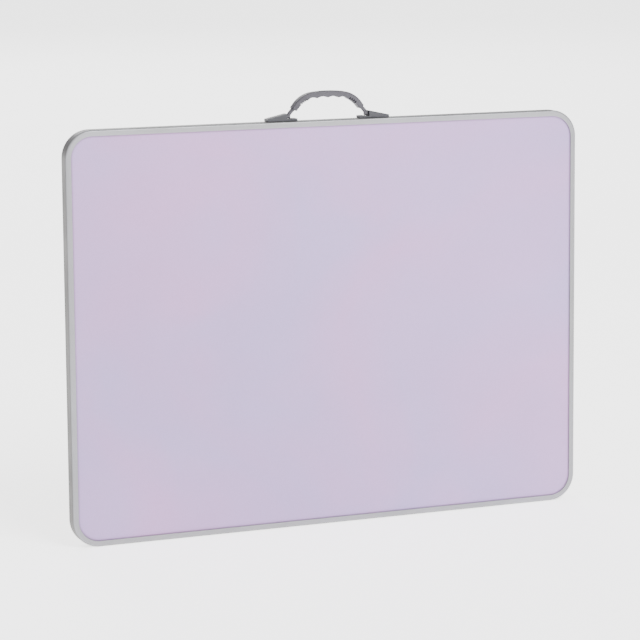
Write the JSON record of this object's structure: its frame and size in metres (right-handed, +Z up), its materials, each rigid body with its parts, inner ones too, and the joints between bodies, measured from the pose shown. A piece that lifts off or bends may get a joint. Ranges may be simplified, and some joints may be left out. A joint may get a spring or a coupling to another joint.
{
  "type": "folding table",
  "caption": "Portable folding table: rounded rectangular top in a metal rim, two nested leg frames with telescopic legs, and a carry handle; shown folded, standing on its long edge.",
  "frame": {"origin": "middle of the folded table's bounding box, on the surface it stands on", "axes": "+X along the long edge, +Z up from the standing edge to the handle, table surface faces -Y and the folded legs lie on the +Y side"},
  "size_m": [0.6, 0.0258, 0.4817],
  "materials": {
    "laminate": "lavender melamine-type laminate, fine satin grain",
    "board": "medium-density fibreboard, raw back",
    "rim": "satin anodised extrusion, bent at the corners",
    "tube": "satin anodised drawn tube",
    "plated_steel": "zinc-plated pressed steel",
    "spring_steel": "blued spring strip",
    "grip_plastic": "grey moulded plastic, light grain",
    "dark_plastic": "darker grey moulded plastic, fine grain",
    "foot_rubber": "dull black moulded rubber"
  },
  "bodies": {
    "top": {"edge_rim": "rim", "surface_laminate": "laminate", "core_board": "board", "left_hinge_rail": "plated_steel", "left_handle_base": "dark_plastic", "left_inner_handle_screw": "plated_steel", "left_outer_handle_screw": "plated_steel", "left_lower_rail_rivet": "plated_steel", "left_lower_outer_bracket_rivet": "plated_steel", "left_lower_inner_bracket_rivet": "plated_steel", "left_lower_hinge_bracket": "plated_steel", "left_lower_detent_spring": "spring_steel", "left_lower_pivot_pin": "plated_steel", "left_upper_rail_rivet": "plated_steel", "left_upper_outer_bracket_rivet": "plated_steel", "left_upper_inner_bracket_rivet": "plated_steel", "left_upper_hinge_bracket": "plated_steel", "left_upper_detent_spring": "spring_steel", "left_upper_pivot_pin": "plated_steel", "right_hinge_rail": "plated_steel", "right_handle_base": "dark_plastic", "right_inner_handle_screw": "plated_steel", "right_outer_handle_screw": "plated_steel", "right_lower_rail_rivet": "plated_steel", "right_lower_outer_bracket_rivet": "plated_steel", "right_lower_inner_bracket_rivet": "plated_steel", "right_lower_hinge_bracket": "plated_steel", "right_lower_detent_spring": "spring_steel", "right_lower_pivot_pin": "plated_steel", "right_upper_rail_rivet": "plated_steel", "right_upper_outer_bracket_rivet": "plated_steel", "right_upper_inner_bracket_rivet": "plated_steel", "right_upper_hinge_bracket": "plated_steel", "right_upper_detent_spring": "spring_steel", "right_upper_pivot_pin": "plated_steel"},
    "handle": {"handle_grip": "grip_plastic"},
    "left_leg_frame": {"left_leg_crossbar": "tube", "left_lower_leg_knuckle": "dark_plastic", "left_lower_outer_tube": "tube", "left_upper_leg_knuckle": "dark_plastic", "left_upper_outer_tube": "tube"},
    "left_lower_collar": {"left_lower_twist_collar": "grip_plastic"},
    "left_lower_extension": {"left_lower_inner_tube": "tube", "left_lower_foot": "foot_rubber"},
    "left_upper_collar": {"left_upper_twist_collar": "grip_plastic"},
    "left_upper_extension": {"left_upper_inner_tube": "tube", "left_upper_foot": "foot_rubber"},
    "right_leg_frame": {"right_leg_crossbar": "tube", "right_lower_leg_knuckle": "dark_plastic", "right_lower_outer_tube": "tube", "right_upper_leg_knuckle": "dark_plastic", "right_upper_outer_tube": "tube"},
    "right_lower_collar": {"right_lower_twist_collar": "grip_plastic"},
    "right_lower_extension": {"right_lower_inner_tube": "tube", "right_lower_foot": "foot_rubber"},
    "right_upper_collar": {"right_upper_twist_collar": "grip_plastic"},
    "right_upper_extension": {"right_upper_inner_tube": "tube", "right_upper_foot": "foot_rubber"}
  },
  "joints": [
    {"name": "handle_swing", "type": "hinge", "parent": "top", "child": "handle", "pos_m": [0, -0.0044, 0.4551], "axis": [1, 0, 0], "range_deg": [-85, 85]},
    {"name": "left_frame_fold", "type": "hinge", "parent": "top", "child": "left_leg_frame", "pos_m": [-0.255, 0.0041, 0.225], "axis": [0, 0, 1], "range_deg": [0, 90], "deforming": ["left_lower_detent_spring", "left_upper_detent_spring"]},
    {"name": "left_lower_collar_twist", "type": "hinge", "parent": "left_leg_frame", "child": "left_lower_collar", "pos_m": [0.006, 0.0041, 0.025], "axis": [1, 0, 0], "range_deg": [0, 90]},
    {"name": "left_lower_leg_extend", "type": "slide", "parent": "left_leg_frame", "child": "left_lower_extension", "axis": [1, 0, 0], "range_m": [0, 0.16]},
    {"name": "left_upper_collar_twist", "type": "hinge", "parent": "left_leg_frame", "child": "left_upper_collar", "pos_m": [0.006, 0.0041, 0.425], "axis": [1, 0, 0], "range_deg": [0, 90]},
    {"name": "left_upper_leg_extend", "type": "slide", "parent": "left_leg_frame", "child": "left_upper_extension", "axis": [1, 0, 0], "range_m": [0, 0.16]},
    {"name": "right_frame_fold", "type": "hinge", "parent": "top", "child": "right_leg_frame", "pos_m": [0.255, 0.0041, 0.225], "axis": [0, 0, -1], "range_deg": [0, 90], "deforming": ["right_lower_detent_spring", "right_upper_detent_spring"]},
    {"name": "right_lower_collar_twist", "type": "hinge", "parent": "right_leg_frame", "child": "right_lower_collar", "pos_m": [-0.006, 0.0041, 0.053], "axis": [-1, 0, 0], "range_deg": [0, 90]},
    {"name": "right_lower_leg_extend", "type": "slide", "parent": "right_leg_frame", "child": "right_lower_extension", "axis": [-1, 0, 0], "range_m": [0, 0.16]},
    {"name": "right_upper_collar_twist", "type": "hinge", "parent": "right_leg_frame", "child": "right_upper_collar", "pos_m": [-0.006, 0.0041, 0.397], "axis": [-1, 0, 0], "range_deg": [0, 90]},
    {"name": "right_upper_leg_extend", "type": "slide", "parent": "right_leg_frame", "child": "right_upper_extension", "axis": [-1, 0, 0], "range_m": [0, 0.16]}
  ]
}
